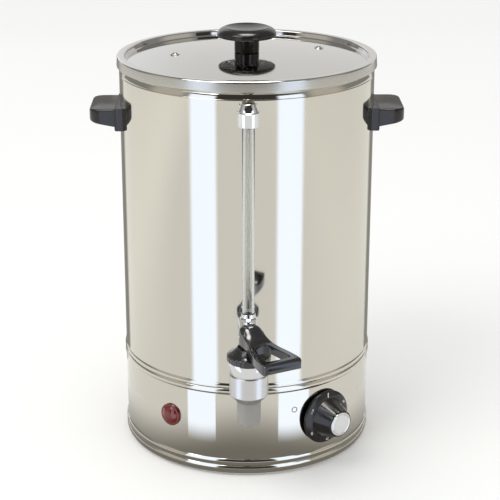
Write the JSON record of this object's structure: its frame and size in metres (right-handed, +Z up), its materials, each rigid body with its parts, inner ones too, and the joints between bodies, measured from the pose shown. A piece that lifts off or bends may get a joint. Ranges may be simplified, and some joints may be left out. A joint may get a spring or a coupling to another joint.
{
  "type": "hot water urn",
  "caption": "Tall polished steel hot water urn on a base skirt: lift-off lid with a knob, side handles, sight glass, lever tap and a thermostat dial.",
  "frame": {"origin": "on the tank axis, on the surface that the rubber feet stand on", "axes": "+Z up along the tank axis; the tap looks along -Y; +X is on the right of someone who faces the tap"},
  "size_m": [0.307, 0.3828, 0.4228],
  "materials": {
    "polished_steel": "mirror-polished stainless sheet",
    "steel_plain": "plain stainless, bright rolled",
    "zinc_steel": "zinc-plated steel hardware",
    "chrome_plate": "bright chrome plate on brass",
    "brass": "machined brass",
    "black_phenolic": "black moulded phenolic, satin gloss",
    "black_nylon": "black moulded nylon, gloss",
    "white_acetal": "natural acetal",
    "clear_glass": "clear borosilicate tube",
    "nozzle_silicone": "translucent smoke-white silicone",
    "seal_silicone": "pale silicone",
    "foot_rubber": "black rubber",
    "lens_red": "translucent red lens",
    "phenolic_brown": "moulded phenolic",
    "copper": "bare copper",
    "ceramic_white": "glazed steatite",
    "lead_jacket": "heat-proof silicone jacket"
  },
  "bodies": {
    "urn": {"base_nuts": "zinc_steel", "base_plate": "steel_plain", "base_skirt": "polished_steel", "base_studs": "zinc_steel", "bulb_clip": "zinc_steel", "cutout_body": "phenolic_brown", "earth_stud": "brass", "element_nuts": "brass", "element_seals": "seal_silicone", "foot_screws": "zinc_steel", "gauge_glass": "clear_glass", "gauge_nut": "brass", "gauge_riser": "chrome_plate", "gauge_seals": "seal_silicone", "gauge_top_fitting": "chrome_plate", "handle_inserts": "brass", "handle_screws": "zinc_steel", "handle_seals": "seal_silicone", "heating_element": "steel_plain", "inlet_housing": "black_nylon", "inlet_nuts": "zinc_steel", "inlet_pins": "brass", "inlet_screws": "zinc_steel", "internal_leads": "lead_jacket", "lamp_body": "white_acetal", "lamp_lens": "lens_red", "lamp_nut": "white_acetal", "left_handle": "black_phenolic", "right_handle": "black_phenolic", "rubber_feet": "foot_rubber", "sensor_bulb": "copper", "tank_floor": "steel_plain", "tank_wall": "polished_steel", "tap_backnut": "brass", "tap_body": "chrome_plate", "tap_bonnet": "black_nylon", "tap_nozzle": "nozzle_silicone", "tap_spring": "steel_plain", "terminal_block": "ceramic_white", "terminal_screws": "brass", "thermostat_body": "ceramic_white", "thermostat_bracket": "zinc_steel", "thermostat_screws": "zinc_steel", "wall_gaskets": "seal_silicone", "wall_washers": "seal_silicone"},
    "lid": {"lid_panel": "polished_steel", "lid_locating_ring": "steel_plain", "lid_knob": "black_phenolic", "lid_knob_washer": "seal_silicone", "lid_knob_screw": "zinc_steel"},
    "lever_swivel": {"slip_ring": "black_nylon"},
    "stem": {"tap_stem": "zinc_steel", "seat_cup": "seal_silicone"},
    "lever": {"tap_lever": "black_nylon", "lever_pin": "zinc_steel"},
    "dial": {"thermostat_spindle": "zinc_steel", "thermostat_knob": "black_phenolic", "knob_cap": "chrome_plate"},
    "reset": {"reset_button": "white_acetal"}
  },
  "joints": [
    {"name": "lid_lift", "type": "slide", "parent": "urn", "child": "lid", "axis": [0, 0, 1], "range_m": [0, 0.06]},
    {"name": "lever_turn", "type": "hinge", "parent": "urn", "child": "lever_swivel", "pos_m": [0, -0.182, 0.165], "axis": [0, 0, 1], "range_deg": [-86.7, 33.3]},
    {"name": "stem_lift", "type": "slide", "parent": "lever_swivel", "child": "stem", "axis": [0, 0, 1], "range_m": [0, 0.0028], "stiffness_N_per_m": 300, "springref_m": -0.004, "deforming": ["tap_spring"]},
    {"name": "lever_press", "type": "hinge", "parent": "stem", "child": "lever", "pos_m": [0, -0.182, 0.1747], "axis": [0.8934, 0.4493, 0], "range_deg": [0, 18]},
    {"name": "dial_turn", "type": "hinge", "parent": "urn", "child": "dial", "pos_m": [0.07842, -0.10369, 0.0537], "axis": [0.6032, -0.7976, 0], "range_deg": [-270, 0]},
    {"name": "reset_push", "type": "slide", "parent": "urn", "child": "reset", "axis": [0, 0, 1], "range_m": [0, 0.0015], "stiffness_N_per_m": 600, "springref_m": -0.001}
  ],
  "couplings": [
    {"joint": "lever_press", "follows": "stem_lift", "rad_per_m": 106}
  ]
}
